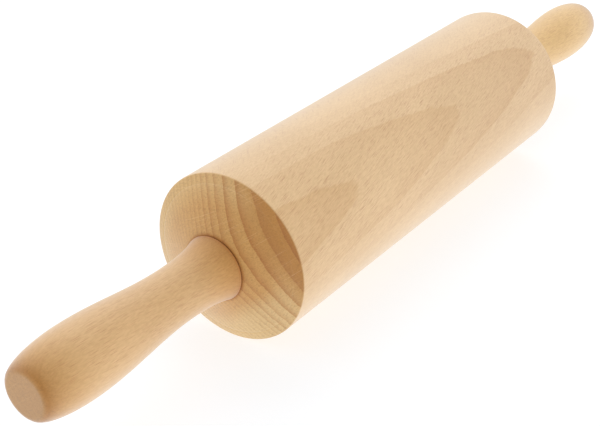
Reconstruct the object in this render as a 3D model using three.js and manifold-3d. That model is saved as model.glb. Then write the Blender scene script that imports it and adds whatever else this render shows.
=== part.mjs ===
import * as THREE from 'three';
import { mergeVertices } from 'three/addons/utils/BufferGeometryUtils.js';
import Module from 'manifold-3d';

const { degToRad, lerp } = THREE.MathUtils;

// A beech rolling pin. The barrel turns on a steel axle in two shielded ball bearings,
// and a turned handle is screwed onto each end of the axle.
// Millimetres, +Z up. The axis lies along X, and the origin is on the board, under the middle of the barrel.

// Barrel
const BARREL_DIAMETER = 65;
const ROLLING_LENGTH = 200; // rim to rim
const END_SLOPE = 22; // degrees that each end stands out from square, as a shallow cone
const RIM_RADIUS = 0.8;
const TIP_LAND = 2.8; // flat ring at the cone's tip, round the bearing seat

// Handle
const HANDLE_LENGTH = 88.6; // inner face to flat end
const WAIST_DIAMETER = 20;
const WAIST_FROM_SHOULDER = 21.3;
const FLARE_ANGLE = 17.5; // degrees between the axis and the flare, where it reaches the shoulder
const BELLY_DIAMETER = 25.8;
const NOSE_LENGTH = 22.3; // belly to flat end
const NOSE_SWEEP = 81; // degrees of the elliptical arc that rounds the nose
const FLAT_DIAMETER = 17;
const SHOULDER_EDGE = 0.5; // rounding of the shoulder's edge

// Axle
const GRIP_DEPTH = 42; // length of axle inside a handle
const HOLE_RELIEF = 2; // space left past the axle's end
const AXLE_SHOULDER = 1; // step that stops the bearing's inner ring
const AXLE_CHAMFER = 0.8;

// Ball bearing
const BEARING_BORE = 8;
const BEARING_OUTER_DIAMETER = 19;
const BEARING_WIDTH = 6;
const BEARING_RECESS = 1; // depth of the bearing's face below the barrel's tip
const BALL_COUNT = 7;
const BALL_DIAMETER = 3.175;
const LAND_GAP = 2.1; // radial distance between the shoulders of the two rings
const RING_CHAMFER = 0.3;
const CAGE_WALL = 1.5; // radial thickness of the cage
const CAGE_LIP = 1; // reach of the cage's fingers past the centre of the balls
const SHIELD_THICKNESS = 0.3;
const SHIELD_INSET = 0.3; // depth of the shield's face below the ring's face
const SHIELD_GROOVE = 0.55; // depth of the step in the outer ring that holds the shield

// Clearances
const SEAT_GAP = 0.05; // pieces that are pressed or screwed together
const BARREL_GAP = 0.5; // handle's inner face to the barrel's tip
const BORE_GAP = 1; // axle to the barrel's bore
const RACE_GAP = 0.1; // ball to its groove
const POCKET_GAP = 0.15; // ball to its pocket in the cage
const CAGE_SHIELD_GAP = 0.2;
const SHIELD_GAP = 0.25; // shield to the inner ring
const WASHER_INSET = 0.2; // the washer stays inside the inner ring's shoulder

// Facets round each kind of piece
const BARREL_FACETS = 64;
const HANDLE_FACETS = 40;
const METAL_FACETS = 28;
const BALL_FACETS = 10;
const BALL_ROWS = 7;

// Steps along each curve
const RIM_STEPS = 3;
const EDGE_STEPS = 2;
const FLARE_STEPS = 5;
const SWELL_STEPS = 8;
const NOSE_STEPS = 7;
const GROOVE_STEPS = 5;

const barrelRadius = BARREL_DIAMETER / 2;
const halfRolling = ROLLING_LENGTH / 2;
const slope = degToRad(END_SLOPE);
const boreRadius = BEARING_BORE / 2;
const ringRadius = BEARING_OUTER_DIAMETER / 2;
const seatRadius = ringRadius + SEAT_GAP;
const shoulderRadius = seatRadius + TIP_LAND;
const journalRadius = boreRadius - SEAT_GAP;
const axleRadius = boreRadius + AXLE_SHOULDER;
const pitchRadius = (boreRadius + ringRadius) / 2;
const ballRadius = BALL_DIAMETER / 2;
const innerLand = pitchRadius - LAND_GAP / 2;
const outerLand = pitchRadius + LAND_GAP / 2;
const shieldSeat = outerLand + SHIELD_GROOVE;
const halfWidth = BEARING_WIDTH / 2;
const shieldOuterFace = halfWidth - SHIELD_INSET;
const shieldInnerFace = shieldOuterFace - SHIELD_THICKNESS;

// Stations along the axis, from the middle of the barrel outwards
const tip = halfRolling + (barrelRadius - shoulderRadius) * Math.tan(slope);
const bearingCentre = tip - BEARING_RECESS - halfWidth;
const seatFloor = bearingCentre - halfWidth - SEAT_GAP;
const handleStart = tip + BARREL_GAP;
const axleEnd = handleStart + GRIP_DEPTH;
const handleEnd = handleStart + HANDLE_LENGTH;

const beechPale = new THREE.MeshStandardMaterial({ color: 0xdfc098, roughness: 0.62, metalness: 0 });
const beechMid = new THREE.MeshStandardMaterial({ color: 0xd2ad7c, roughness: 0.55, metalness: 0 });
const drawnSteel = new THREE.MeshStandardMaterial({ color: 0xa9adb2, roughness: 0.35, metalness: 1 });
const groundSteel = new THREE.MeshStandardMaterial({ color: 0xc4c7cb, roughness: 0.18, metalness: 1 });
const pressedSteel = new THREE.MeshStandardMaterial({ color: 0xb2b6ba, roughness: 0.3, metalness: 1 });
const creamNylon = new THREE.MeshStandardMaterial({ color: 0xd9cfb4, roughness: 0.5, metalness: 0 });

const wasm = await Module();
wasm.setup();

// Profiles are points of radius and distance along the axis. The outside runs outwards along the axis
// and a bore runs back, so that the turned faces point out.
function at(radius, along) {
  return new THREE.Vector2(radius, along);
}

function arc(radius, along, reach, from, to, steps) {
  return new THREE.EllipseCurve(radius, along, reach, reach, from, to, from > to).getPoints(steps);
}

function turned(name, profile, facets, material) {
  const halfFacet = Math.PI / facets;
  const mesh = new THREE.Mesh(new THREE.LatheGeometry(profile, facets, halfFacet), material);
  mesh.name = name;
  return mesh;
}

function ring(name, profile, facets, material) {
  return turned(name, [...profile, profile[0].clone()], facets, material);
}

// The barrel is a cylinder with a shallow cone at each end. Its bore steps out to a bearing seat at each tip.
function barrel() {
  const turn = Math.PI / 2 - slope;
  const rimStart = halfRolling - RIM_RADIUS * Math.tan(turn / 2);
  const rimCentre = barrelRadius - RIM_RADIUS;
  const bore = axleRadius + BORE_GAP;
  const profile = [
    at(shoulderRadius, -tip),
    ...arc(rimCentre, -rimStart, RIM_RADIUS, -turn, 0, RIM_STEPS),
    ...arc(rimCentre, rimStart, RIM_RADIUS, 0, turn, RIM_STEPS),
    at(shoulderRadius, tip),
    at(seatRadius, tip),
    at(seatRadius, seatFloor),
    at(bore, seatFloor),
    at(bore, -seatFloor),
    at(seatRadius, -seatFloor),
    at(seatRadius, -tip),
  ];
  return ring('barrel', profile, BARREL_FACETS, beechPale);
}

// The axle's thick middle ends in a shoulder behind each bearing.
// Its thinner ends carry the bearings and the handles.
function axle() {
  const profile = [
    at(0, -axleEnd),
    at(journalRadius - AXLE_CHAMFER, -axleEnd),
    at(journalRadius, -axleEnd + AXLE_CHAMFER),
    at(journalRadius, -seatFloor),
    at(axleRadius, -seatFloor),
    at(axleRadius, seatFloor),
    at(journalRadius, seatFloor),
    at(journalRadius, axleEnd - AXLE_CHAMFER),
    at(journalRadius - AXLE_CHAMFER, axleEnd),
    at(0, axleEnd),
  ];
  return turned('axle', profile, METAL_FACETS, drawnSteel);
}

// The handle flares out to its shoulder, narrows to a waist, swells by half a cosine wave to a belly
// and rounds off in an elliptical nose with a flat end. A blind hole takes the axle.
function handle(side) {
  const waistRadius = WAIST_DIAMETER / 2;
  const bellyRadius = BELLY_DIAMETER / 2;
  const flatRadius = FLAT_DIAMETER / 2;
  const holeRadius = journalRadius + SEAT_GAP;
  const holeEnd = axleEnd + HOLE_RELIEF;
  const flareRun = (shoulderRadius - waistRadius) / Math.tan(degToRad(FLARE_ANGLE));
  const flareStart = handleStart + SHOULDER_EDGE;
  const waist = handleStart + WAIST_FROM_SHOULDER;
  const belly = handleEnd - NOSE_LENGTH;

  const edge = new THREE.QuadraticBezierCurve(
    at(shoulderRadius - SHOULDER_EDGE, handleStart),
    at(shoulderRadius, handleStart),
    at(shoulderRadius, flareStart),
  );
  const flare = new THREE.QuadraticBezierCurve(
    at(shoulderRadius, flareStart),
    at(waistRadius, flareStart + flareRun),
    at(waistRadius, waist),
  );
  const swell = Array.from({ length: SWELL_STEPS }, (_, step) => {
    const share = (step + 1) / SWELL_STEPS;
    const rise = (1 - Math.cos(Math.PI * share)) / 2;
    return at(lerp(waistRadius, bellyRadius, rise), lerp(waist, belly, share));
  });
  const sweep = degToRad(NOSE_SWEEP);
  const noseDepth = (bellyRadius - flatRadius) / (1 - Math.cos(sweep));
  const noseReach = NOSE_LENGTH / Math.sin(sweep);
  const nose = new THREE.EllipseCurve(bellyRadius - noseDepth, belly, noseDepth, noseReach, 0, sweep);

  const profile = [
    at(0, holeEnd),
    at(holeRadius, holeEnd),
    at(holeRadius, handleStart),
    ...edge.getPoints(EDGE_STEPS),
    ...flare.getPoints(FLARE_STEPS).slice(1),
    ...swell,
    ...nose.getPoints(NOSE_STEPS).slice(1),
    at(0, handleEnd),
  ];
  return turned(`${side}_handle`, profile, HANDLE_FACETS, beechMid);
}

// The thrust washer holds the handle off the barrel. It bears on the bearing's inner ring alone.
function thrustWasher(side) {
  const inner = journalRadius + SEAT_GAP;
  const outer = innerLand - WASHER_INSET;
  const start = bearingCentre + halfWidth + SEAT_GAP;
  const end = handleStart - SEAT_GAP;
  const profile = [at(outer, start), at(outer, end), at(inner, end), at(inner, start)];
  return ring(`${side}_thrust_washer`, profile, METAL_FACETS, pressedSteel);
}

// Both rings have a round groove for the balls. Its arc is centred on the pitch circle.
const grooveRadius = ballRadius + RACE_GAP;
const grooveSpread = Math.acos(LAND_GAP / 2 / grooveRadius);

function outerRing(side) {
  const chamfered = ringRadius - RING_CHAMFER;
  const profile = [
    at(chamfered, -halfWidth),
    at(ringRadius, -halfWidth + RING_CHAMFER),
    at(ringRadius, halfWidth - RING_CHAMFER),
    at(chamfered, halfWidth),
    at(shieldSeat, halfWidth),
    at(shieldSeat, shieldInnerFace - SEAT_GAP),
    at(outerLand, shieldInnerFace - SEAT_GAP),
    ...arc(pitchRadius, 0, grooveRadius, grooveSpread, -grooveSpread, GROOVE_STEPS),
    at(outerLand, -shieldInnerFace + SEAT_GAP),
    at(shieldSeat, -shieldInnerFace + SEAT_GAP),
    at(shieldSeat, -halfWidth),
  ];
  return ring(`${side}_bearing_outer_ring`, profile, METAL_FACETS, groundSteel);
}

function innerRing(side) {
  const chamfered = boreRadius + RING_CHAMFER;
  const profile = [
    at(innerLand, -halfWidth),
    ...arc(pitchRadius, 0, grooveRadius, Math.PI + grooveSpread, Math.PI - grooveSpread, GROOVE_STEPS),
    at(innerLand, halfWidth),
    at(chamfered, halfWidth),
    at(boreRadius, halfWidth - RING_CHAMFER),
    at(boreRadius, -halfWidth + RING_CHAMFER),
    at(chamfered, -halfWidth),
  ];
  return ring(`${side}_bearing_inner_ring`, profile, METAL_FACETS, groundSteel);
}

function shield(side, place, face) {
  const outer = shieldSeat - SEAT_GAP;
  const inner = innerLand + SHIELD_GAP;
  const start = Math.min(face * shieldInnerFace, face * shieldOuterFace);
  const end = start + SHIELD_THICKNESS;
  const profile = [at(outer, start), at(outer, end), at(inner, end), at(inner, start)];
  return ring(`${side}_bearing_${place}_shield`, profile, METAL_FACETS, pressedSteel);
}

function ballPlace(index) {
  const angle = (index / BALL_COUNT) * 2 * Math.PI;
  return new THREE.Vector3(pitchRadius * Math.sin(angle), 0, pitchRadius * Math.cos(angle));
}

function ball(side, index) {
  const mesh = new THREE.Mesh(new THREE.SphereGeometry(ballRadius, BALL_FACETS, BALL_ROWS), groundSteel);
  mesh.name = `${side}_bearing_ball_${index + 1}`;
  mesh.position.copy(ballPlace(index));
  return mesh;
}

function solid(geometry) {
  const plain = geometry.clone();
  plain.deleteAttribute('normal');
  plain.deleteAttribute('uv');
  const merged = mergeVertices(plain);
  const vertProperties = new Float32Array(merged.attributes.position.array);
  const triVerts = new Uint32Array(merged.index.array);
  return new wasm.Manifold(new wasm.Mesh({ numProp: 3, vertProperties, triVerts }));
}

function surface(body) {
  const { vertProperties, triVerts } = body.getMesh();
  const geometry = new THREE.BufferGeometry();
  geometry.setAttribute('position', new THREE.BufferAttribute(vertProperties, 3));
  geometry.setIndex(new THREE.BufferAttribute(triVerts, 1));
  geometry.computeVertexNormals();
  return geometry;
}

// The cage is a crown: a ring with a round pocket cut into it for each ball, open on the side of the fingers.
function cage(side) {
  const inner = pitchRadius - CAGE_WALL / 2;
  const outer = pitchRadius + CAGE_WALL / 2;
  const back = -shieldInnerFace + CAGE_SHIELD_GAP;
  const crown = [at(outer, back), at(outer, CAGE_LIP), at(inner, CAGE_LIP), at(inner, back)];
  const mesh = ring(`${side}_bearing_cage`, crown, METAL_FACETS, creamNylon);
  const pocket = new THREE.SphereGeometry(ballRadius + POCKET_GAP, BALL_FACETS, BALL_ROWS);
  let body = solid(mesh.geometry);
  for (let index = 0; index < BALL_COUNT; index += 1) {
    const place = ballPlace(index);
    body = body.subtract(solid(pocket.clone().translate(place.x, place.y, place.z)));
  }
  mesh.geometry = surface(body);
  return mesh;
}

function bearing(side) {
  const group = new THREE.Group();
  group.position.y = bearingCentre;
  group.add(outerRing(side));
  group.add(innerRing(side));
  group.add(cage(side));
  group.add(shield(side, 'inner', -1));
  group.add(shield(side, 'outer', 1));
  for (let index = 0; index < BALL_COUNT; index += 1) {
    group.add(ball(side, index));
  }
  return group;
}

// Every piece is turned about Y. The spindle lays that axis along X and lifts it
// until the barrel's lowest facet lies on the board.
const spindle = new THREE.Group();
spindle.rotation.z = -Math.PI / 2;
spindle.position.z = barrelRadius * Math.cos(Math.PI / BARREL_FACETS);
spindle.add(barrel());
spindle.add(axle());

const sides = { right: 0, left: Math.PI };
for (const [side, turn] of Object.entries(sides)) {
  const end = new THREE.Group();
  end.rotation.z = turn;
  end.add(handle(side));
  end.add(thrustWasher(side));
  end.add(bearing(side));
  spindle.add(end);
}

const rollingPin = new THREE.Group();
rollingPin.add(spindle);

export default rollingPin;
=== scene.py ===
import math

import bpy
import numpy as np
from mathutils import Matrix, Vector


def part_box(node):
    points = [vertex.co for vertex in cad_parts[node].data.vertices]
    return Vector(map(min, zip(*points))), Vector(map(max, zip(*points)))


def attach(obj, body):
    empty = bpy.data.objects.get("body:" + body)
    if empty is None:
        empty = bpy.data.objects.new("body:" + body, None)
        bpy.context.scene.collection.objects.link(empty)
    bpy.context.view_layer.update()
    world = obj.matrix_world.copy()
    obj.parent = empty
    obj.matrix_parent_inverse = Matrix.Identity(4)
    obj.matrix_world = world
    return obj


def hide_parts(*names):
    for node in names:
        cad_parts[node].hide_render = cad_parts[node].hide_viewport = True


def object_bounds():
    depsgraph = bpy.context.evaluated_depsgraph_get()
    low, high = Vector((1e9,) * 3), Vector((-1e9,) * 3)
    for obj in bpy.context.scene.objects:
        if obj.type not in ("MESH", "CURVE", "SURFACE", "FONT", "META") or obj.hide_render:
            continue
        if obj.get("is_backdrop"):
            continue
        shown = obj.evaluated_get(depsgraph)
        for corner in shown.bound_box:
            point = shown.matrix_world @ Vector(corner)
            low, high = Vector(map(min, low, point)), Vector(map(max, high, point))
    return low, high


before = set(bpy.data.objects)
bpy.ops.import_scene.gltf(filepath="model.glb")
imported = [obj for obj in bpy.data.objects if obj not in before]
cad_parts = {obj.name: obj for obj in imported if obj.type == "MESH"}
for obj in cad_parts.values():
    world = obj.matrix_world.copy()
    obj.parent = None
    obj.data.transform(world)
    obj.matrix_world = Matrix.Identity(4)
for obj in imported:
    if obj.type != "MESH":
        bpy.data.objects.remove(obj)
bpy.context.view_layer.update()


# Axle: the steel rod that runs through the whole pin. It is drawn bar, turned down at both ends to a
# shoulder that stops the bearing, a plain journal, and a coarse thread that is driven into the handle.
axle_low, axle_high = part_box("axle")
AXIS_HEIGHT = (axle_low.z + axle_high.z) / 2
AXLE_END = axle_high.x
AXLE_RADIUS = 0.005
AXLE_STEP = 0.10109  # where the thick middle ends
AXLE_CHAMFER = 0.0008
AXLE_AROUND = 72
FIT_GAP = 0.00005  # air between two pieces that are pressed or slid together
JOURNAL_RADIUS = 0.00395
JOURNAL_EDGE = 0.0004  # from the shoulder to the journal's second row
THREAD_START = 0.1125
THREAD_PITCH = 0.003
THREAD_DEPTH = 0.0005
THREAD_EDGE = 0.0005  # from the journal's last row to the thread
THREAD_ROWS = 190
THREAD_POWER = 1.5  # above 1 leaves the crests wider than the roots
ON_AXIS = 1e-9  # a row whose radius is smaller than this is one point
CRISP_EDGE = math.radians(32)
DRAWN_STEEL = (0.40, 0.41, 0.43, 1.0)
NOISE_RANGE = (0.3, 0.7)  # the range that most of a noise pattern lies in
TOOL_MARKS = (3.0, 0.6)  # detail and roughness of the pattern of fine lines
TOOL_MARK_RANGE = (0.25, 0.75)
TOOL_MARK_POLISH = (0.75, 1.35)  # how the lines change the roughness
TOOL_MARK_BUMP = 0.15
TOOL_MARK_DEPTH = 0.00003
SMEAR_SCALE = 220.0
SMEAR_DETAIL = 4.0
SMEAR_SHADE = 0.82


def angles(around):
    """Even steps round a whole turn, in radians."""
    return np.linspace(0.0, 2 * np.pi, around, endpoint=False)


def turned(name, along, radius, around, closed=False, centre=(0.0, 0.0)):
    """A surface of revolution about a line parallel to the pin's axis: the grid point at profile place i
    and angle a lies at (along, y0 + radius cos a, z0 + radius sin a), where along and radius may also
    change with the angle. A row of radius 0 closes in a pole, and a closed profile joins its last row to
    its first. The outside of a profile runs towards +X, so that the faces point outwards."""
    turn = angles(around)
    along, radius = np.broadcast_arrays(along, radius, np.zeros((1, around)))[:2]
    across_y = centre[0] + radius * np.cos(turn)
    across_z = AXIS_HEIGHT + centre[1] + radius * np.sin(turn)
    grid = np.stack([along, across_y, across_z], axis=-1)
    pole = radius.max(axis=1) < ON_AXIS
    step = np.arange(around)
    size = np.where(pole, 1, around)
    first = np.cumsum(size) - size
    index = first[:, None] + np.where(pole[:, None], 0, step)
    points = grid[~pole[:, None] | (step == 0)]
    rows = np.vstack([index, index[:1]]) if closed else index
    ends = np.append(pole, pole[0]) if closed else pole
    near, far = rows[:-1], rows[1:]
    quads = np.stack([near, np.roll(near, -1, axis=1), np.roll(far, -1, axis=1), far], axis=-1)
    opens, shuts = ends[:-1], ends[1:]
    faces = quads[~opens & ~shuts].reshape(-1, 4).tolist()
    faces += quads[opens][..., [0, 2, 3]].reshape(-1, 3).tolist()
    faces += quads[shuts][..., [0, 1, 2]].reshape(-1, 3).tolist()
    mesh = bpy.data.meshes.new(name)
    mesh.from_pydata(points.tolist(), [], faces)
    mesh.shade_smooth()
    mesh.set_sharp_from_angle(angle=CRISP_EDGE)
    return mesh


def placed(name, data):
    """An object that shows its mesh, lamp or camera, put into the scene."""
    item = bpy.data.objects.new(name, data)
    bpy.context.scene.collection.objects.link(item)
    return item


def fitted(mesh, material, body, slot, *nodes):
    """Puts a finished mesh into the pin as a piece that moves with a body and stands for CAD nodes."""
    mesh.materials.append(material)
    piece = placed(mesh.name, mesh)
    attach(piece, body)
    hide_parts(*nodes)


def column(values):
    """Profile values as a column, so that they spread round the whole turn."""
    return np.asarray(values, dtype=float)[:, None]


def blank(name):
    """A plain material: returns it with its node tree and its Principled shader."""
    material = bpy.data.materials.new(name)
    material.use_nodes = True
    tree = material.node_tree
    return material, tree, tree.nodes["Principled BSDF"]


def wire(tree, node, inputs):
    """Fills a node's inputs: each is linked if its value is a socket, and otherwise set."""
    for key, value in inputs.items():
        if isinstance(value, bpy.types.NodeSocket):
            tree.links.new(value, node.inputs[key])
        else:
            node.inputs[key].default_value = value


def add(tree, kind, inputs=None, **settings):
    """A new node with its settings and its inputs."""
    node = tree.nodes.new(kind)
    for key, value in settings.items():
        setattr(node, key, value)
    wire(tree, node, inputs or {})
    return node


def eased(tree, value, low, high, to_low=0.0, to_high=1.0):
    """A value carried smoothly from one range to another, and held at the ends."""
    inputs = {0: value, 1: low, 2: high, 3: to_low, 4: to_high}
    node = add(tree, "ShaderNodeMapRange", inputs, interpolation_type="SMOOTHSTEP", clamp=True)
    return node.outputs[0]


def mixed(tree, share, one, other, blend="MIX"):
    """Two colours mixed by a share from 0 to 1."""
    node = add(tree, "ShaderNodeMix", {0: share, 6: one, 7: other}, data_type="RGBA", blend_type=blend)
    return node.outputs[2]


def shaded(colour, share):
    """A colour made darker, or lighter where the share is above 1."""
    return (*(part * share for part in colour[:3]), 1.0)


def noise(tree, place, scale, detail, roughness=0.5):
    """A cloudy pattern of values round 0.5, whose detail is how many finer layers it adds."""
    inputs = {"Vector": place, "Scale": scale, "Detail": detail, "Roughness": roughness}
    return add(tree, "ShaderNodeTexNoise", inputs).outputs["Fac"]


def bumped(tree, height, strength, depth):
    """The normal of a surface that a height pattern raises and lowers by up to a depth."""
    inputs = {"Strength": strength, "Distance": depth, "Height": height}
    return add(tree, "ShaderNodeBump", inputs).outputs[0]


def about_axis(tree, place):
    """A place as its parts along X, Y and Z, and its distance out from the X axis."""
    along, across_y, across_z = add(tree, "ShaderNodeSeparateXYZ", {0: place}).outputs
    across = add(tree, "ShaderNodeCombineXYZ", {1: across_y, 2: across_z}).outputs[0]
    out = add(tree, "ShaderNodeVectorMath", {0: across}, operation="LENGTH").outputs["Value"]
    return along, across_y, across_z, out


def machined_steel(name, colour, polish, line_scale):
    """Bright steel off a lathe or a grinder: fine lines run round the axis, because their pattern reads
    only the distance from the axis and the place along it. Smears dull the colour here and there."""
    material, tree, shader = blank(name)
    place = add(tree, "ShaderNodeTexCoord").outputs["Object"]
    place = add(tree, "ShaderNodeMapping", {"Vector": place, "Location": (0, 0, -AXIS_HEIGHT)}).outputs[0]
    along, _, _, out = about_axis(tree, place)
    rings = add(tree, "ShaderNodeCombineXYZ", {0: along, 1: out}).outputs[0]
    lines = noise(tree, rings, line_scale, *TOOL_MARKS)
    smear = eased(tree, noise(tree, place, SMEAR_SCALE, SMEAR_DETAIL), *NOISE_RANGE)
    smooth, rough = (polish * share for share in TOOL_MARK_POLISH)
    wire(tree, shader, {
        "Base Color": mixed(tree, smear, shaded(colour, SMEAR_SHADE), colour),
        "Roughness": eased(tree, lines, *TOOL_MARK_RANGE, smooth, rough),
        "Normal": bumped(tree, lines, TOOL_MARK_BUMP, TOOL_MARK_DEPTH),
        "Metallic": 1.0,
    })
    return material


def threaded_end():
    """Rows from the shoulder to the end of the axle, as place and radius over the turn. Past the journal
    the radius dips by a rounded thread: half of one minus the cosine of the turns made along the axis less
    the angle, raised to a power. The last two rows are the chamfer and the end's middle."""
    journal = [AXLE_STEP, AXLE_STEP + JOURNAL_EDGE, THREAD_START - THREAD_EDGE]
    thread = np.linspace(THREAD_START, AXLE_END - AXLE_CHAMFER, THREAD_ROWS)
    along = column(np.concatenate([journal, thread, [AXLE_END, AXLE_END]]))
    wave = (1.0 - np.cos(2 * np.pi * along / THREAD_PITCH - angles(AXLE_AROUND))) / 2
    fade = np.clip((along - THREAD_START) / THREAD_PITCH, 0.0, 1.0)
    radius = JOURNAL_RADIUS - THREAD_DEPTH * fade * wave**THREAD_POWER
    radius[-2:] = column([JOURNAL_RADIUS - AXLE_CHAMFER, 0.0])
    return along, radius


end_along, end_radius = threaded_end()
axle_along = np.vstack([-end_along[::-1], [[-AXLE_STEP]], [[AXLE_STEP]], end_along])
middle = np.full((2, AXLE_AROUND), AXLE_RADIUS)
axle_radius = np.vstack([end_radius[::-1], middle, end_radius])
axle_steel = machined_steel("axle_steel", DRAWN_STEEL, polish=0.34, line_scale=2600.0)
axle_mesh = turned("axle_rod", axle_along, axle_radius, AXLE_AROUND)
fitted(axle_mesh, axle_steel, "handles", "axle_steel", "axle")


# Ball bearings: one is pressed into a seat in each tip of the barrel. Each has a ground outer and inner
# ring with a round groove, seven hardened balls, a moulded nylon crown that spaces them, and two
# pressed steel shields that keep flour out. The barrel turns with the outer rings and the shields.
BEARING_HALF = 0.003
BEARING_PLACE = AXLE_STEP + FIT_GAP + BEARING_HALF
RING_OUTSIDE = 0.0095
RING_BORE = JOURNAL_RADIUS + FIT_GAP
RING_CHAMFER = 0.0003
RING_AROUND = 96
PITCH_RADIUS = 0.00675
BALL_RADIUS = 0.0015875
BALL_ROWS = 17
BALL_AROUND = 28
BALLS = 7
GROOVE_RADIUS = 0.0016875
GROOVE_ROWS = 17
OUTER_LAND = 0.0078
INNER_LAND = 0.0057
SHIELD_EDGE = 0.0083
SHIELD_SEAT = SHIELD_EDGE + FIT_GAP
SHIELD_HOLE = 0.00595
SHIELD_FACE = 0.0027
SHIELD_BACK = 0.0024
SHIELD_EDGE_ROWS = 7
CAGE_INSIDE = 0.006
CAGE_OUTSIDE = 0.0075
CAGE_BACK = -0.0022
CAGE_FINGER = 0.001
CAGE_STEPS = 56  # round the crown, for each ball
FINGER_SLOPE = 0.00012  # width of the step from a pocket up to a finger
POCKET_RADIUS = 0.0017375
RING_STEEL = (0.56, 0.57, 0.58, 1.0)
SHIELD_STEEL = (0.47, 0.48, 0.49, 1.0)
CAGE_NYLON = (0.70, 0.62, 0.45, 1.0)
CAGE_MILKY = 1.12  # how much lighter the flow marks are
CAGE_ROUGHNESS = (0.38, 0.52)
FLOW_SCALE = 420.0
FLOW_DETAIL = 3.0
GRIT_SCALE = 6000.0
GRIT_DETAIL = 2.0
GRIT_BUMP = 0.1
GRIT_DEPTH = 0.00002
ENDS = {"left": -1, "right": 1}


def groove(side):
    """The round groove of a ring, a circle's arc from land to land, centred on the ball circle: side 1 is the
    outer ring, whose inside runs towards -X, and side -1 the inner ring, whose outside runs towards +X."""
    land = OUTER_LAND if side > 0 else INNER_LAND
    spread = math.acos(abs(land - PITCH_RADIUS) / GROOVE_RADIUS)
    turn = np.linspace(spread, -spread, GROOVE_ROWS) * side
    return np.column_stack([GROOVE_RADIUS * np.sin(turn), PITCH_RADIUS + side * GROOVE_RADIUS * np.cos(turn)])


def outer_ring_profile():
    """The outer ring: chamfered outside, a step for each shield, and the groove between two lands."""
    half, edge, back = BEARING_HALF, RING_OUTSIDE - RING_CHAMFER, SHIELD_BACK - FIT_GAP
    outside = [(-half, edge), (-half + RING_CHAMFER, RING_OUTSIDE), (half - RING_CHAMFER, RING_OUTSIDE)]
    front = [(half, edge), (half, SHIELD_SEAT), (back, SHIELD_SEAT), (back, OUTER_LAND)]
    rear = [(-back, OUTER_LAND), (-back, SHIELD_SEAT), (-half, SHIELD_SEAT)]
    return np.vstack([outside, front, groove(1), rear])


def inner_ring_profile():
    """The inner ring: lands and groove outside, a chamfered bore inside."""
    half, edge = BEARING_HALF, RING_BORE + RING_CHAMFER
    front = [(half, INNER_LAND), (half, edge)]
    bore = [(half - RING_CHAMFER, RING_BORE), (-half + RING_CHAMFER, RING_BORE), (-half, edge)]
    return np.vstack([[(-half, INNER_LAND)], groove(-1), front, bore])


def shield_profile(face):
    """A pressed disc, 0.3 mm thick, whose rim and hole are half circles, rounded over by the press."""
    low, high = (SHIELD_BACK, SHIELD_FACE) if face > 0 else (-SHIELD_FACE, -SHIELD_BACK)
    turn = np.linspace(-np.pi / 2, np.pi / 2, SHIELD_EDGE_ROWS)
    mid, half = (low + high) / 2, (high - low) / 2
    rim = np.column_stack([mid + half * np.sin(turn), SHIELD_EDGE - half + half * np.cos(turn)])
    hole = np.column_stack([mid - half * np.sin(turn), SHIELD_HOLE + half - half * np.cos(turn)])
    return np.vstack([rim, hole])


def mirrored(profile):
    """A profile for the +X end, turned end for end onto the -X end: places change sign and order."""
    return (profile * [-1.0, 1.0])[::-1]


def ring_mesh(name, side, profile):
    """A closed ring profile, given for the +X bearing's own middle, at one end of the pin."""
    profile = profile + [BEARING_PLACE, 0.0]
    profile = profile if side > 0 else mirrored(profile)
    return turned(name, profile[:, :1], profile[:, 1:], RING_AROUND, closed=True)


def crown_cage(name, side):
    """The nylon crown: a square ring whose front edge follows the pockets. Under a ball the edge lies on a
    circle of the pocket's radius, and between the pockets it rises to the height of the fingers."""
    around = CAGE_STEPS * BALLS
    pitch = 2 * np.pi / BALLS
    offset = PITCH_RADIUS * (np.mod(angles(around) - np.pi / 2 + pitch / 2, pitch) - pitch / 2)
    inside = np.clip(POCKET_RADIUS**2 - offset**2, 0.0, None)
    rise = np.clip((np.abs(offset) - POCKET_RADIUS) / FINGER_SLOPE, 0.0, 1.0)
    front = -np.sqrt(inside) + CAGE_FINGER * rise
    back = np.full(around, CAGE_BACK)
    along = BEARING_PLACE * side + side * np.stack([back, front, front, back])
    radius = column([CAGE_OUTSIDE, CAGE_OUTSIDE, CAGE_INSIDE, CAGE_INSIDE])
    if side < 0:
        along, radius = along[::-1], radius[::-1]
    return turned(name, along, radius, around, closed=True)


def ball(node, side):
    """A ball: a half circle turned about its own diameter, at the place of its CAD node on the ball circle,
    because the nodes are numbered the other way round at the other end."""
    turn = np.linspace(np.pi, 0.0, BALL_ROWS)
    along = side * BEARING_PLACE + column(BALL_RADIUS * np.cos(turn))
    radius = column(BALL_RADIUS * np.sin(turn))
    radius[[0, -1]] = 0.0
    low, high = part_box(node)
    centre = ((low.y + high.y) / 2, (low.z + high.z) / 2 - AXIS_HEIGHT)
    return turned(f"{node}_polished", along, radius, BALL_AROUND, centre=centre)


def moulded_nylon(name):
    """Natural nylon: a milky cream with faint flow marks and a soft sheen from the mould."""
    material, tree, shader = blank(name)
    place = add(tree, "ShaderNodeTexCoord").outputs["Object"]
    flow = noise(tree, place, FLOW_SCALE, FLOW_DETAIL)
    grit = noise(tree, place, GRIT_SCALE, GRIT_DETAIL)
    milky = shaded(CAGE_NYLON, CAGE_MILKY)
    wire(tree, shader, {
        "Base Color": mixed(tree, eased(tree, flow, *NOISE_RANGE), CAGE_NYLON, milky),
        "Roughness": eased(tree, flow, *NOISE_RANGE, *CAGE_ROUGHNESS),
        "Normal": bumped(tree, grit, GRIT_BUMP, GRIT_DEPTH),
    })
    return material


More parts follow.
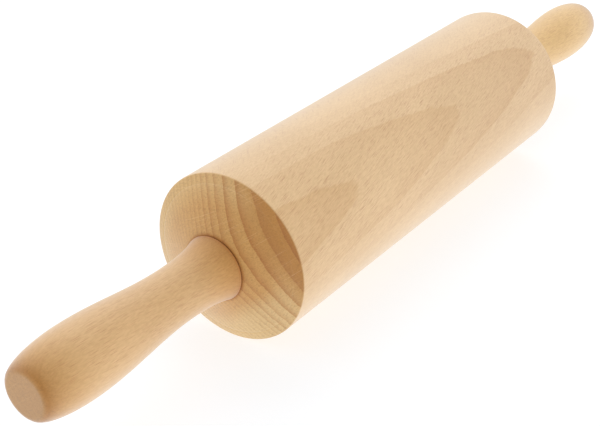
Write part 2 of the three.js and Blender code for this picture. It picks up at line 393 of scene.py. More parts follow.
bearing_steel = machined_steel("bearing_steel", RING_STEEL, polish=0.16, line_scale=5200.0)
shield_steel = machined_steel("shield_steel", SHIELD_STEEL, polish=0.28, line_scale=1800.0)
cage_nylon = moulded_nylon("cage_nylon")
for hand, side in ENDS.items():
    part = f"{hand}_bearing"
    mesh = ring_mesh(f"{part}_outer_race", side, outer_ring_profile())
    fitted(mesh, bearing_steel, "barrel", "bearing_steel", f"{part}_outer_ring")
    mesh = ring_mesh(f"{part}_inner_race", side, inner_ring_profile())
    fitted(mesh, bearing_steel, "handles", "bearing_steel", f"{part}_inner_ring")
    for place, face in (("inner", -1), ("outer", 1)):
        mesh = ring_mesh(f"{part}_{place}_disc", side, shield_profile(face))
        fitted(mesh, shield_steel, "barrel", "shield_steel", f"{part}_{place}_shield")
    mesh = crown_cage(f"{part}_crown", side)
    fitted(mesh, cage_nylon, f"{hand}_ball_set", "cage_nylon", f"{part}_cage")
    for number in range(1, BALLS + 1):
        node = f"{part}_ball_{number}"
        fitted(ball(node, side), bearing_steel, f"{hand}_ball_set", "bearing_steel", node)


# Barrel: one billet of flat-sawn beech, turned between centres to a cylinder with a shallow cone at each
# end, bored through for the axle and counterbored for the bearings, then sanded and left bare.
# The growth rings show as long arches on the side and as bands on the end grain of the cones.
barrel_low, barrel_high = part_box("barrel")
BARREL_RADIUS = (barrel_high.z - barrel_low.z) / 2
BARREL_AROUND = 360
RIM_PLACE = 0.100
RIM_ROUNDING = 0.0008
CONE_SLOPE = math.radians(22)
TIP_RADIUS = 0.01235
TIP_PLACE = barrel_high.x
SEAT_RADIUS = RING_OUTSIDE + FIT_GAP
SEAT_FLOOR = AXLE_STEP
BARREL_BORE = 0.006
TOOL_LINE = 0.0289  # radius of the fine line that the turning tool left on each cone
TOOL_LINE_DEPTH = 0.00006
TOOL_LINE_HALF = 0.00025


def run(start, end, steps):
    """A straight stretch of a profile, in even steps, without its last point."""
    share = np.linspace(0.0, 1.0, steps, endpoint=False)[:, None]
    return np.asarray(start) * (1 - share) + np.asarray(end) * share


def barrel_profile():
    """Half of the barrel's outside from the middle to the tip: cylinder, a rim rounded by a circular arc
    through 68 degrees, and the cone with the tool's fine line; then the flat tip, seat and bore."""
    turn = math.pi / 2 - CONE_SLOPE
    rim_start = RIM_PLACE - RIM_ROUNDING * math.tan(turn / 2)
    angle = np.linspace(0.0, turn, 9)
    rim = np.column_stack([
        rim_start + RIM_ROUNDING * np.sin(angle), BARREL_RADIUS - RIM_ROUNDING * (1 - np.cos(angle)),
    ])
    slope = (TIP_PLACE - rim[-1, 0]) / (rim[-1, 1] - TIP_RADIUS)
    radius = np.concatenate([
        np.linspace(rim[-1, 1], TOOL_LINE + TOOL_LINE_HALF, 6)[1:-1],
        np.linspace(TOOL_LINE + TOOL_LINE_HALF, TOOL_LINE - TOOL_LINE_HALF, 9),
        np.linspace(TOOL_LINE - TOOL_LINE_HALF, TIP_RADIUS, 18)[1:],
    ])
    dip = TOOL_LINE_DEPTH * np.clip(1 - np.abs(radius - TOOL_LINE) / TOOL_LINE_HALF, 0.0, 1.0)
    cone = np.column_stack([TIP_PLACE - slope * (radius - TIP_RADIUS) - dip, radius])
    side = run((0.0, BARREL_RADIUS), rim[0], steps=24)
    seat_wall = run((TIP_PLACE, SEAT_RADIUS), (SEAT_FLOOR, SEAT_RADIUS), steps=4)
    seat_floor = run((SEAT_FLOOR, SEAT_RADIUS), (SEAT_FLOOR, BARREL_BORE), steps=3)
    bore = run((SEAT_FLOOR, BARREL_BORE), (0.0, BARREL_BORE), steps=12)
    return np.vstack([side, rim, cone, seat_wall, seat_floor, bore])


def both_ends(half):
    """A whole closed profile from its +X half, which starts outside and ends in the bore at the middle."""
    other = mirrored(half)
    middle_bore = np.array([[0.0, half[-1, 1]]])
    return np.vstack([half, middle_bore, other[:-1]])


def tone(red, green, blue):
    """A colour as seen on a screen, from 0 to 255, as the shader's light values."""
    seen = np.array([red, green, blue]) / 255.0
    light = np.where(seen <= 0.04045, seen / 12.92, ((seen + 0.055) / 1.055) ** 2.4)
    return (*light.tolist(), 1.0)


# The log that the barrel was sawn from: the heart's place and lean, and the growth rings.
BARREL_PITH = (0.0, -0.1753, 0.1430 + AXIS_HEIGHT)
BARREL_LEAN = (0.0582, 0.1865)
BARREL_RINGS = {"wide": 0.00575, "narrow": 0.0020, "turning": 0.212, "spread": 0.004, "first": 0.1834}
BARREL_BULGE = (0.0004, -0.068, 0.026)  # height, place along the heart, and reach
BARREL_HEARTWOOD = (0.190, 0.203)  # where it ends, as distances from the heart
FIBRE_TWIST = 0.03
SEED_TURN = 0.7  # how much of a log's seed moves its patterns round the heart
GRAIN_ROUGHNESS = 0.55
# The patterns in the grain: each has its stretch (along, round and out), detail, scale and shift.
SWAY = ((0.16, 1.0, 1.0), 2.0, 42.0, 0.0)
RAGGED = ((0.08, 1.0, 1.0), 2.0, 900.0, 3.0)
TORN = ((0.4, 1.0, 1.0), 2.0, 300.0, 5.0)
FIBRE = ((0.22, 1.0, 1.0), 3.0, 2000.0, 7.0)
CLOUD = ((0.35, 1.0, 1.0), 3.0, 38.0, 11.0)
PORE = ((1.0, 1.0, 0.6), 3.0, 1700.0, 17.0)
RING_WANDER = {SWAY: 0.0026, RAGGED: 0.0006, TORN: 0.0005}  # how wide each pattern moves the rings
LEAST_YEAR = 0.7  # how strong the latewood of the weakest year is
# How latewood darkens a ring: a power of the part of its width, where its outer edge starts, and how it
# fades where the rings grow narrow.
END_LATEWOOD = (2.2, 0.94, (-2.0, 3.0, 1.0, 0.55))
SIDE_LATEWOOD = (1.6, 0.95, (-3.5, 1.0, 1.0, 0.35))
FLAT_SAWN_CONTRAST = (0.55, 0.95, 0.3, 1.1)  # faint on the quarter, strong on the flat
# Rays: cells per metre along the grain, round the heart and outwards.
RAY_CELLS = (140.0, 4200.0, 25.0)
RAY_EDGE = (0.12, 0.40)
RAY_FAINTEST = 0.35
RAY_BROWN = tone(176, 95, 55)
RAY_FACING = (0.55, 0.92)
RAY_ON_QUARTER = 0.35
RAY_LINE = 0.5  # how much the pale lines on the end grain show
RAY_LINE_POWER = 3.0
RAY_DENT = 0.8
PORE_RANGE = (0.46, 0.74)
PORE_SHARE = 0.28
PORE_SHADE = 0.5
# What tints the wood: each is a factor on its red, green and blue.
CLOUD_TINTS = ((0.96, 0.945, 0.92, 1.0), (1.03, 1.035, 1.05, 1.0))
FIBRE_TINTS = ((0.94, 0.925, 0.90, 1.0), (1.04, 1.05, 1.065, 1.0))
SAPWOOD = (1.02, 1.04, 0.90, 1.0)
SAPWOOD_RANGE = (-2.0, 6.0)
HEARTWOOD = (0.80, 0.68, 0.48, 1.0)
# paler end grain where it is sanded, and painted light on the side below the axis
SANDED_AND_LIT = (1.16, 1.46, 2.25, 1.0)
JOINT_DIRT_AND_SHADE = (0.80, 0.55, 0.15)  # dirt and painted contact shade in the joint beside each handle
JOINT_DIRT_AND_SHADE_FADE = 0.0005
# The flat end of a handle, where it was parted off.
PARTED_PALE = tone(177, 128, 62)
PARTED_DARK = tone(172, 123, 57)
# Bare sanded wood: fine fibres raised by the sanding, which catch white light at a low angle.
WOOD_ROUGHNESS = (0.60, 0.50)
WOOD_BUMP = 0.10
WOOD_RELIEF = 0.0002
WOOD_FINISH = {
    "Specular IOR Level": 0.3,
    "Sheen Weight": 0.62,
    "Sheen Roughness": 0.50,
    "Sheen Tint": (0.95, 0.98, 1.0, 1.0),
}
# Sanding of the end grain, with painted light on one side: how much there is all round, where it starts and
# how fast it grows towards the rim, how much further in it starts on the side with painted light, and the
# burnished tool line.
SANDED_AND_LIT_MOST = math.radians(48)  # the side with painted light, below the axis, towards -Y
SANDED_AND_LIT_SIDE_POWER = 4
SANDED_AND_LIT_LEAST = 0.52
SANDED_AND_LIT_FROM = 0.0225
SANDED_AND_LIT_FURTHER = 0.007
SANDED_AND_LIT_GROWTH = 0.006
BURNISHED = 0.3
BURNISHED_REACH = 1.4  # in halves of the tool line's half width


def math_of(tree, operation, *values):
    """The result of one Math node."""
    return add(tree, "ShaderNodeMath", dict(enumerate(values)), operation=operation).outputs[0]


def product(tree, first, *others):
    """Values multiplied together."""
    for other in others:
        first = math_of(tree, "MULTIPLY", first, other)
    return first


def tinted(tree, colour, tint):
    """A colour seen through a tint: their product."""
    return mixed(tree, 1.0, colour, tint, "MULTIPLY")


def marked(tree, name, kind="Fac"):
    """What a mesh's own mark says at a point: a share, or a colour."""
    return add(tree, "ShaderNodeAttribute", attribute_name=name).outputs[kind]


def heart_distance(pith):
    """How far from the pin's axis the heart of a log runs, at the pin's middle."""
    return math.hypot(pith[1], pith[2] - AXIS_HEIGHT)


def log_places(tree, pith, lean):
    """Places in a log whose heart runs through the point pith and leans off the axis by lean (rise per length
    towards +Y and +Z): along the heart, out from it, and the grain's place, which is along, round the heart
    as an arc that the fibres' twist shifts, and out."""
    place = add(tree, "ShaderNodeTexCoord").outputs["Object"]
    turn = (0.0, -math.atan2(lean[1], math.hypot(1.0, lean[0])), math.atan2(lean[0], 1.0))
    inputs = {"Vector": place, "Location": pith, "Rotation": turn}
    wood = add(tree, "ShaderNodeMapping", inputs, vector_type="TEXTURE").outputs[0]
    along, across_y, across_z, out = about_axis(tree, wood)
    arc = product(tree, math_of(tree, "ARCTAN2", across_y, across_z), heart_distance(pith))
    arc = math_of(tree, "MULTIPLY_ADD", along, FIBRE_TWIST, arc)
    grain = add(tree, "ShaderNodeCombineXYZ", {0: along, 1: arc, 2: out}).outputs[0]
    return along, out, grain


def grain_noise(tree, grain, seed, stretch, detail, scale, shift):
    """A noise pattern in the grain's places, drawn out by its stretch and moved by the log's seed."""
    inputs = {"Vector": grain, "Scale": stretch, "Location": (seed + shift, seed * SEED_TURN, shift)}
    spot = add(tree, "ShaderNodeMapping", inputs).outputs[0]
    return noise(tree, spot, scale, detail, GRAIN_ROUGHNESS)


def growth_rings(tree, along, out, grain, seed, bulge, wide, narrow, turning, spread, first):
    """The growth rings at a point: which part of its ring's width it lies at, how far past the turning, and
    how strong that year is. The count of rings is 0 at the distance first and rises by one for each wide.
    Past the turning it rises by one for each narrow: the logarithm of 1 + e to the power of past joins the
    two. A bulge of the trunk shifts the rings outwards by a bell curve, e to the minus square of how far
    away it is."""
    depth = out
    for pattern, width in RING_WANDER.items():
        wander = grain_noise(tree, grain, seed, *pattern)
        depth = math_of(tree, "ADD", depth, math_of(tree, "MULTIPLY_ADD", wander, width, -width / 2))
    height, place, reach = bulge
    away = math_of(tree, "DIVIDE", math_of(tree, "SUBTRACT", along, place), reach)
    bell = math_of(tree, "EXPONENT", product(tree, away, away, -1.0))
    depth = math_of(tree, "MULTIPLY_ADD", bell, -height, depth)
    even = math_of(tree, "DIVIDE", math_of(tree, "SUBTRACT", depth, first), wide)
    past = math_of(tree, "DIVIDE", math_of(tree, "SUBTRACT", depth, turning), spread)
    bend = math_of(tree, "LOGARITHM", math_of(tree, "ADD", math_of(tree, "EXPONENT", past), 1.0), math.e)
    count = math_of(tree, "MULTIPLY_ADD", bend, spread * (1.0 / narrow - 1.0 / wide), even)
    year = math_of(tree, "ADD", math_of(tree, "FLOOR", count), seed)
    chance = add(tree, "ShaderNodeTexWhiteNoise", {"W": year}, noise_dimensions="1D").outputs["Value"]
    return math_of(tree, "FRACT", count), past, eased(tree, chance, 0.0, 1.0, LEAST_YEAR, 1.0)


def latewood(tree, part, past, yearly, power, edge, fade):
    """How dark the latewood is: a power of the part of the ring's width, which drops to nothing in a crisp
    outer edge, by how strong the year is and how narrow the rings are."""
    rise = math_of(tree, "POWER", part, power)
    return product(tree, rise, eased(tree, part, edge, 1.0, 1.0, 0.0), yearly, eased(tree, past, *fade))


def rays(tree, grain, seed):
    """Rays, the thin sheets that run out from the heart: cells that are long outwards, short along the grain
    and thin round the heart. Returns how strong a ray is at a point, and the chance shade of each ray."""
    inputs = {"Vector": grain, "Scale": RAY_CELLS, "Location": (seed, 0.0, seed)}
    spot = add(tree, "ShaderNodeMapping", inputs).outputs[0]
    cells = add(tree, "ShaderNodeTexVoronoi", {"Vector": spot, "Scale": 1.0}, feature="F1").outputs
    shade = add(tree, "ShaderNodeSeparateXYZ", {0: cells["Color"]}).outputs[0]
    strength = math_of(tree, "MULTIPLY_ADD", shade, 1.0 - RAY_FAINTEST, RAY_FAINTEST)
    return product(tree, eased(tree, cells["Distance"], *RAY_EDGE, 1.0, 0.0), strength), shade


def end_grain(tree, late, past, out, heartwood, pale, dark):
    """The colour of end grain: pale to dark within each ring, yellower in the sapwood, darker in the
    heartwood, and paler where it is sanded and where light is painted on, which the heartwood hardly shows."""
    end = mixed(tree, late, pale, dark)
    end = mixed(tree, eased(tree, past, *SAPWOOD_RANGE), end, tinted(tree, end, SAPWOOD))
    core = eased(tree, out, *heartwood)
    end = mixed(tree, core, tinted(tree, end, HEARTWOOD), end)
    sanded_and_lit = product(tree, marked(tree, "sanded_and_lit_rim"), core)
    return mixed(tree, sanded_and_lit, end, tinted(tree, end, SANDED_AND_LIT))


def beech(name, pith, lean, seed, rings, bulge, heartwood, pale, dark, end_pale, end_dark, slant, fleck):
    """Solid beech, as it lay in the log: growth rings darken slowly outwards and end in a crisp edge; rays
    show as short dashes on the side and as fine pale lines on the end grain; fibres run along the grain, and
    pores pit the end grain. The surface turns from side to end grain over the range slant of the mark that
    the cut left. A parted-off end has its own tone, and oil, dirt and painted shade darken the wood over all
    of it."""
    material, tree, shader = blank(name)
    along, out, grain = log_places(tree, pith, lean)
    part, past, yearly = growth_rings(tree, along, out, grain, seed, bulge, **rings)
    ray, shade = rays(tree, grain, seed)
    fibre, cloud, pore = (grain_noise(tree, grain, seed, *pattern) for pattern in (FIBRE, CLOUD, PORE))
    flat = marked(tree, "flat_sawn")
    cut = eased(tree, marked(tree, "end_grain"), *slant)

    late_side = latewood(tree, part, past, yearly, *SIDE_LATEWOOD)
    late_side = product(tree, late_side, eased(tree, flat, *FLAT_SAWN_CONTRAST))
    late_end = latewood(tree, part, past, yearly, *END_LATEWOOD)
    end = end_grain(tree, late_end, past, out, heartwood, end_pale, end_dark)
    colour = mixed(tree, cut, mixed(tree, late_side, pale, dark), end)
    parted = mixed(tree, late_end, PARTED_PALE, PARTED_DARK)
    colour = mixed(tree, marked(tree, "parted_off"), colour, parted)
    # oil, dirt and painted shade, as the mesh marks them
    colour = tinted(tree, colour, marked(tree, "stain_and_shade", "Color"))
    for pattern, tints in ((cloud, CLOUD_TINTS), (fibre, FIBRE_TINTS)):
        colour = tinted(tree, colour, mixed(tree, eased(tree, pattern, *NOISE_RANGE), *tints))

    facing = eased(tree, flat, *RAY_FACING, fleck * RAY_ON_QUARTER, fleck)
    dash = product(tree, ray, facing, math_of(tree, "SUBTRACT", 1.0, cut))
    colour = mixed(tree, dash, colour, RAY_BROWN)
    line = product(tree, ray, math_of(tree, "POWER", shade, RAY_LINE_POWER), cut, RAY_LINE)
    colour = mixed(tree, line, colour, pale)
    pit = product(tree, eased(tree, pore, *PORE_RANGE), cut, PORE_SHARE)
    colour = mixed(tree, pit, colour, shaded(end_dark, PORE_SHADE))
    height = math_of(tree, "SUBTRACT", fibre, product(tree, ray, RAY_DENT))
    wire(tree, shader, {
        "Base Color": colour,
        "Roughness": eased(tree, fibre, *NOISE_RANGE, *WOOD_ROUGHNESS),
        "Normal": bumped(tree, height, WOOD_BUMP, WOOD_RELIEF),
        **WOOD_FINISH,
    })
    return material


def points_of(mesh):
    """The places of a mesh's points, as rows of x, y and z."""
    places = np.empty(3 * len(mesh.vertices))
    mesh.vertices.foreach_get("co", places)
    return places.reshape(-1, 3)


def normals_of(mesh):
    """The directions that a mesh's points face, as rows of x, y and z."""
    normals = np.empty(3 * len(mesh.vertices))
    mesh.vertex_normals.foreach_get("vector", normals)
    return normals.reshape(-1, 3)


def mark(mesh, name, shares):
    """Leaves a mark on a mesh, one share for each point, for its material to read."""
    mesh.attributes.new(name, "FLOAT", "POINT").data.foreach_set("value", shares)


def mark_cut(mesh, pith, lean):
    """Marks how the lathe cut each point of a surface: end_grain is the share of its normal that lies along
    the grain, and flat_sawn the share that points straight away from the heart of the log."""
    normals, from_pith = normals_of(mesh), points_of(mesh) - pith
    grain = np.array([1.0, *lean]) / np.linalg.norm([1.0, *lean])
    out = from_pith - np.outer(from_pith @ grain, grain)
    out /= np.linalg.norm(out, axis=1, keepdims=True)
    mark(mesh, "end_grain", np.abs(normals @ grain))
    mark(mesh, "flat_sawn", np.abs((normals * out).sum(axis=1)))


def stained_and_shaded(mesh, *stains_and_shade):
    """Writes what oil, dirt and painted shade let through of the wood's colour at each point: the product,
    over them, of 1 - share x (1 - tint)."""
    left = np.ones((len(mesh.vertices), 4))
    for share, tint in stains_and_shade:
        left[:, :3] *= 1.0 - np.outer(share, 1.0 - np.asarray(tint))
    mesh.attributes.new("stain_and_shade", "FLOAT_COLOR", "POINT").data.foreach_set("color", left.ravel())


def mark_barrel(mesh):
    """Marks where the end grain is paler: sanding that grows evenly towards the rim, and painted light that
    makes it strongest on one side, by a power of the cosine of the angle from there. The tool's line is
    burnished. Dirt and painted contact shade lie at the tip and fade outwards by e to the minus distance."""
    _, across_y, across_z = points_of(mesh).T
    from_axis = np.hypot(across_y, across_z - AXIS_HEIGHT)
    round_axis = np.arctan2(AXIS_HEIGHT - across_z, -across_y)
    # painted light: stronger on the side below the axis, towards -Y
    more = np.clip(np.cos(round_axis - SANDED_AND_LIT_MOST), 0.0, None) ** SANDED_AND_LIT_SIDE_POWER
    grown = np.clip((from_axis - SANDED_AND_LIT_FROM + SANDED_AND_LIT_FURTHER * more) / SANDED_AND_LIT_GROWTH, 0.0, 1.0)
    sanded_and_lit = (SANDED_AND_LIT_LEAST + (1.0 - SANDED_AND_LIT_LEAST) * more) * grown
    off_line = np.abs(from_axis - TOOL_LINE) / (TOOL_LINE_HALF / 2)
    mark(mesh, "sanded_and_lit_rim", sanded_and_lit + BURNISHED * np.clip(BURNISHED_REACH - off_line, 0.0, 1.0))
    from_tip = np.clip(from_axis - TIP_RADIUS, 0.0, None)
    # dirt and painted contact shade at the tip, beside each handle
    stained_and_shaded(mesh, (np.exp(-from_tip / JOINT_DIRT_AND_SHADE_FADE) * (from_axis > BARREL_BORE), JOINT_DIRT_AND_SHADE))


barrel_wood = beech(
    "barrel_beech", BARREL_PITH, BARREL_LEAN, seed=1.3,
    rings=BARREL_RINGS, bulge=BARREL_BULGE, heartwood=BARREL_HEARTWOOD,
    pale=tone(230, 193, 142), dark=tone(220, 178, 123),
    end_pale=tone(201, 153, 86), end_dark=tone(172, 112, 48), slant=(0.12, 0.88), fleck=0.75,
)
profile = both_ends(barrel_profile())
barrel_mesh = turned("beech_barrel", profile[:, :1], profile[:, 1:], BARREL_AROUND, closed=True)
mark_cut(barrel_mesh, BARREL_PITH, BARREL_LEAN)
mark_barrel(barrel_mesh)
fitted(barrel_mesh, barrel_wood, "barrel", "barrel_beech", "barrel")


# Thrust washers: a punched steel ring on each journal. It holds the handle a hair off the barrel and
# bears on the bearing's inner ring alone, so that the barrel turns freely.
WASHER_INSIDE = JOURNAL_RADIUS + FIT_GAP
WASHER_OUTSIDE = 0.0055
WASHER_EDGE = 0.00012
WASHER_AROUND = 72


def washer_profile(low, high):
    """A flat ring with its four edges broken by the punch."""
    corner = WASHER_EDGE
    return np.array([
        (low, WASHER_OUTSIDE - corner), (low + corner, WASHER_OUTSIDE),
        (high - corner, WASHER_OUTSIDE), (high, WASHER_OUTSIDE - corner),
        (high, WASHER_INSIDE + corner), (high - corner, WASHER_INSIDE),
        (low + corner, WASHER_INSIDE), (low, WASHER_INSIDE + corner),
    ])


washer_steel = machined_steel("washer_steel", SHIELD_STEEL, polish=0.3, line_scale=1500.0)
for hand in ENDS:
    low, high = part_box(f"{hand}_thrust_washer")
    profile = washer_profile(low.x, high.x)
    mesh = turned(f"{hand}_punched_washer", profile[:, :1], profile[:, 1:], WASHER_AROUND, closed=True)
    fitted(mesh, washer_steel, "handles", "washer_steel", f"{hand}_thrust_washer")


# Handles: two turned grips of a warmer, straight-grained beech. Each flares to a shoulder beside the
# barrel, narrows to a waist, swells to a belly and rounds off to a flat end where it was parted off.
# A blind hole takes the axle's thread.
handle_low, handle_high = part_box("right_handle")
HANDLE_START = handle_low.x
HANDLE_END = handle_high.x
HANDLE_AROUND = 180
SHOULDER_RADIUS = TIP_RADIUS  # flush with the barrel's tip
SHOULDER_EDGE = 0.00005
WAIST_RADIUS = 0.010
WAIST_PLACE = HANDLE_START + 0.0213
FLARE_ANGLE = math.radians(17.5)
BELLY_RADIUS = 0.0129
BELLY_PLACE = HANDLE_END - 0.0223
NOSE_SWEEP = math.radians(81)
NOSE_ROUNDED_FROM = math.radians(69)  # from here the nose is sanded over into the flat
FLAT_RADIUS = 0.0085
FLAT_ROUNDING = 0.0015
HOLE_RADIUS = JOURNAL_RADIUS + FIT_GAP
HOLE_END = AXLE_END + 0.002
OIL_AND_SHADE = (0.92, 0.78, 0.50)  # what hand oil and painted shade let through at the shoulder
OIL_AND_SHADE_REACH = 0.022
NOSE_OIL_AND_SHADE = 0.45  # share of that at the nose
PARTED_FACING = 0.84  # the share of its normal along the axis at which the flat end starts
PARTED_TURN = 0.14
HANDLE_LOGS = {
    "left": {
        "pith": (0.0, 0.066, -0.058 + AXIS_HEIGHT), "lean": (0.012, -0.020), "seed": 5.1,
        "pale": tone(224, 182, 127), "dark": tone(217, 174, 117),
    },
    "right": {
        "pith": (0.0, 0.070, -0.050 + AXIS_HEIGHT), "lean": (-0.015, 0.010), "seed": 9.4,
        "pale": tone(230, 188, 120), "dark": tone(223, 180, 110),
    },
}
HANDLE_RINGS = {"wide": 0.0030, "narrow": 0.0022, "spread": 0.004, "first": 0.0}
HANDLE_CUT = {
    "end_pale": tone(183, 132, 71), "end_dark": tone(178, 126, 65), "slant": (0.0, 0.60), "fleck": 0.60,
    "bulge": (0.0, 0.0, 1.0),  # none
    "heartwood": (0.0, 0.01),  # ends long before it reaches the handle
}


def curved(start, control, end, steps):
    """A quadratic Bezier curve: each point is (1-t)(1-t) start + 2t(1-t) control + tt end."""
    t = np.linspace(0.0, 1.0, steps)[:, None]
    start, control, end = np.asarray(start), np.asarray(control), np.asarray(end)
    return (1 - t) ** 2 * start + 2 * t * (1 - t) * control + t**2 * end


def handle_profile():
    """The right handle from the end of its hole, out along the hole, over the shoulder's edge, down the
    flare, up a half cosine wave to the belly, round an elliptical nose, which is sanded over by a Bezier
    curve that starts along the ellipse, and across the flat end."""
    hole = np.vstack([[(HOLE_END, 0.0)], run((HOLE_END, HOLE_RADIUS), (HANDLE_START, HOLE_RADIUS), steps=10)])
    face_edge = (HANDLE_START, SHOULDER_RADIUS - SHOULDER_EDGE)
    face = run((HANDLE_START, HOLE_RADIUS), face_edge, steps=8)
    flare_start = (HANDLE_START + SHOULDER_EDGE, SHOULDER_RADIUS)
    edge = curved(face_edge, (HANDLE_START, SHOULDER_RADIUS), flare_start, steps=7)
    flare_run = (SHOULDER_RADIUS - WAIST_RADIUS) / math.tan(FLARE_ANGLE)
    flare_end = (WAIST_PLACE, WAIST_RADIUS)
    flare = curved(flare_start, (flare_start[0] + flare_run, WAIST_RADIUS), flare_end, steps=28)
    share = np.linspace(0.0, 1.0, 48)
    rise = (1 - np.cos(np.pi * share)) / 2
    swell = np.column_stack([
        WAIST_PLACE + share * (BELLY_PLACE - WAIST_PLACE),
        WAIST_RADIUS + rise * (BELLY_RADIUS - WAIST_RADIUS),
    ])
    depth = (BELLY_RADIUS - FLAT_RADIUS) / (1 - math.cos(NOSE_SWEEP))
    reach = (HANDLE_END - BELLY_PLACE) / math.sin(NOSE_SWEEP)
    turn = np.linspace(0.0, NOSE_ROUNDED_FROM, 44)
    nose = np.column_stack([BELLY_PLACE + reach * np.sin(turn), BELLY_RADIUS - depth * (1 - np.cos(turn))])
    fall = (HANDLE_END - nose[-1, 0]) * depth * math.tan(NOSE_ROUNDED_FROM) / reach
    corner = nose[-1, 1] - fall
    over = curved(nose[-1], (HANDLE_END, corner), (HANDLE_END, corner - FLAT_ROUNDING), steps=12)
    flat = np.column_stack([np.full(9, HANDLE_END), np.linspace(corner - FLAT_ROUNDING, 0.0, 10)[1:]])
    return np.vstack([hole, face, edge, flare[1:], swell[1:], nose[1:], over[1:], flat])


def oil_and_shade_share(distance):
    """How much hand oil and painted shade lie at a distance from where most lies: a half cosine wave over the
    reach.
    """
    return (1.0 + np.cos(np.pi * np.clip(distance / OIL_AND_SHADE_REACH, 0.0, 1.0))) / 2


def mark_handle(mesh):
    """Marks the flat end of a handle, where it was sawn from the waste and sanded, by how squarely it faces
    along the axis. Hand oil and painted shade darken the neck and, less, the nose, and dirt and painted
    contact shade lie in the joint at the shoulder and fade by e to the minus distance."""
    along = np.abs(points_of(mesh)[:, 0])
    facing = np.abs(normals_of(mesh)[:, 0])
    at_end = along > HANDLE_END - FLAT_ROUNDING
    flat = np.clip((facing - PARTED_FACING) / PARTED_TURN, 0.0, 1.0) * at_end
    mark(mesh, "parted_off", flat)
    from_shoulder = along - HANDLE_START
    # hand oil with painted shade at the neck and the nose; dirt and painted contact shade in the joint
    oil_and_shade = oil_and_shade_share(from_shoulder) + NOSE_OIL_AND_SHADE * oil_and_shade_share(HANDLE_END - along) * (1.0 - flat)
    stained_and_shaded(mesh, (oil_and_shade, OIL_AND_SHADE), (np.exp(-from_shoulder / JOINT_DIRT_AND_SHADE_FADE), JOINT_DIRT_AND_SHADE))


for hand, side in ENDS.items():
    log = HANDLE_LOGS[hand]
    rings = {**HANDLE_RINGS, "turning": heart_distance(log["pith"])}
    wood = beech(f"{hand}_handle_beech", rings=rings, **log, **HANDLE_CUT)
    profile = handle_profile() if side > 0 else mirrored(handle_profile())
    mesh = turned(f"{hand}_turned_handle", profile[:, :1], profile[:, 1:], HANDLE_AROUND)
    mark_cut(mesh, log["pith"], log["lean"])
    mark_handle(mesh)
    fitted(mesh, wood, "handles", "handle_beech", f"{hand}_handle")


# White sweep and light: the pin lies on a white sheet that glows from below, as in a light tent, and throws
# more light up in front of the pin than behind it. Four softboxes stand round it, and the room is white,
# but dimmer on one side.
SWEEP_HALF = 3.0
SWEEP_LINES = 13
SWEEP_WHITE = (0.38, 0.40, 0.43, 1.0)
PURE_WHITE = (1.0, 1.0, 1.0, 1.0)
GLOW_FRONT = 0.92
GLOW_BEHIND = 0.40
GLOW_CHANGE = 0.35  # how far behind the axis the glow reaches its lower level
GLOW_SEEN = 0.68  # how bright the sheet itself looks
ROOM_LIGHT = 0.95
DIM_LIGHT = 0.61
DIM_SIDE = (-0.627, -0.527, 0.574)  # the direction in which the room is dimmer
DIM_EDGE = (-0.3, 0.85)  # where it starts and where it is full, as cosines of the angle from that side


def sweep_mesh(name):
    """A level square sheet on a grid of two straight parameters, at the height of the board."""
    step = np.linspace(-SWEEP_HALF, SWEEP_HALF, SWEEP_LINES)
    x, y = np.meshgrid(step, step, indexing="ij")
    points = np.stack([x, y, np.zeros_like(x)], axis=-1).reshape(-1, 3)
    index = np.arange(x.size).reshape(x.shape)
    faces = np.stack([index[:-1, :-1], index[1:, :-1], index[1:, 1:], index[:-1, 1:]], axis=-1)
    mesh = bpy.data.meshes.new(name)
    mesh.from_pydata(points.tolist(), [], faces.reshape(-1, 4).tolist())
    return mesh


def seen_straight(tree):
    """1 for a ray that comes from the camera, a mirror or a glass, and 0 for one that carries light."""
    ray = add(tree, "ShaderNodeLightPath").outputs
    seen = math_of(tree, "MAXIMUM", ray["Is Camera Ray"], ray["Is Glossy Ray"])
    return math_of(tree, "MAXIMUM", seen, ray["Is Transmission Ray"])


def glowing_sheet(name):
    """White sheet that glows: by its place across the pin where it throws light, and evenly where it is
    seen, which is glow + seen x (even glow - glow)."""
    material, tree, shader = blank(name)
    place = add(tree, "ShaderNodeTexCoord").outputs["Object"]
    behind = add(tree, "ShaderNodeSeparateXYZ", {0: place}).outputs[1]
    glow = eased(tree, behind, 0.0, GLOW_CHANGE, GLOW_FRONT, GLOW_BEHIND)
    change = math_of(tree, "SUBTRACT", GLOW_SEEN, glow)
    wire(tree, shader, {
        "Base Color": SWEEP_WHITE,
        "Roughness": 0.9,
        "Specular IOR Level": 0.1,
        "Emission Color": PURE_WHITE,
        "Emission Strength": math_of(tree, "MULTIPLY_ADD", change, seen_straight(tree), glow),
    })
    return material


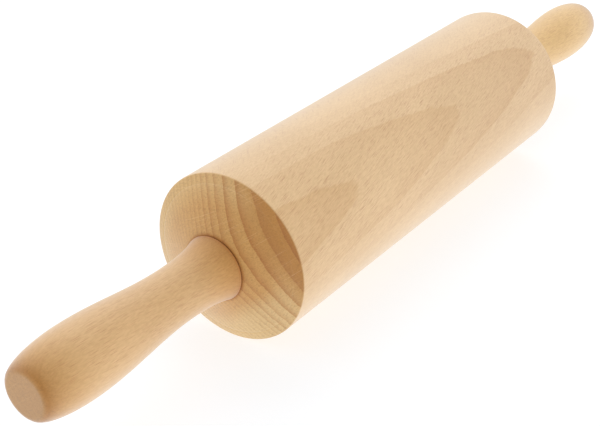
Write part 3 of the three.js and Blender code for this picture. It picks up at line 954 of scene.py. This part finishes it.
def white_room(name):
    """White surroundings, which throw less light from the dim side, by the cosine of the angle from it, and
    look pure white where they are seen."""
    room = bpy.data.worlds.new(name)
    room.use_nodes = True
    tree = room.node_tree
    facing = add(tree, "ShaderNodeTexCoord").outputs["Generated"]
    inputs = {0: facing, 1: DIM_SIDE}
    cosine = add(tree, "ShaderNodeVectorMath", inputs, operation="DOT_PRODUCT").outputs["Value"]
    light = eased(tree, cosine, *DIM_EDGE, ROOM_LIGHT, DIM_LIGHT)
    strength = math_of(tree, "MAXIMUM", seen_straight(tree), light)
    wire(tree, tree.nodes["Background"], {"Color": PURE_WHITE, "Strength": strength})
    return room


def aimed(item, place, direction):
    """Stands a lamp or the camera at a place, facing along a direction, with its top upwards."""
    item.location = place
    item.rotation_mode = "QUATERNION"
    item.rotation_quaternion = Vector(direction).to_track_quat("-Z", "Y")


def softbox(name, place, aim, width, height, power):
    """An even rectangular light that faces a point."""
    lamp = bpy.data.lights.new(name, "AREA")
    lamp.shape = "RECTANGLE"
    lamp.size, lamp.size_y, lamp.energy = width, height, power
    aimed(placed(name, lamp), place, Vector(aim) - Vector(place))


sweep_white = glowing_sheet("sweep_white")
sweep = placed("white_sweep", sweep_mesh("white_sweep"))
sweep.data.materials.append(sweep_white)
sweep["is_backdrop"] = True
bpy.context.scene.world = white_room("white_surroundings")
softbox("softbox_behind", (0.55, 0.30, 0.80), aim=(0.1, 0.0, 0.03), width=0.8, height=0.8, power=3.1)
softbox("softbox_left", (-0.45, 0.50, 0.30), aim=(-0.15, 0.0, 0.03), width=0.7, height=0.2, power=0.9)
softbox("softbox_right", (0.72, -0.95, 0.22), aim=(0.06, 0.0, 0.02), width=1.3, height=0.4, power=0.7)
softbox("softbox_low", (-0.42, -0.42, 0.06), aim=(-0.1, -0.01, 0.02), width=0.25, height=0.10, power=0.08)


# Camera: stands at the near left end of the pin, a little above it, and looks down along it through a
# short telephoto lens.
CAMERA_PLACE = (-0.38251, -0.23129, 0.25216)
CAMERA_AIM = (0.71352, 0.50637, -0.48423)
LENS = 72.266
camera_data = bpy.data.cameras.new("camera")
camera_data.sensor_width = 36.0
camera_data.sensor_fit = "HORIZONTAL"
camera_data.lens = LENS
camera_data.clip_start = 0.01
camera = placed("camera", camera_data)
aimed(camera, CAMERA_PLACE, CAMERA_AIM)
bpy.context.scene.camera = camera
bpy.context.scene.view_settings.view_transform = "Standard"

low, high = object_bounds()
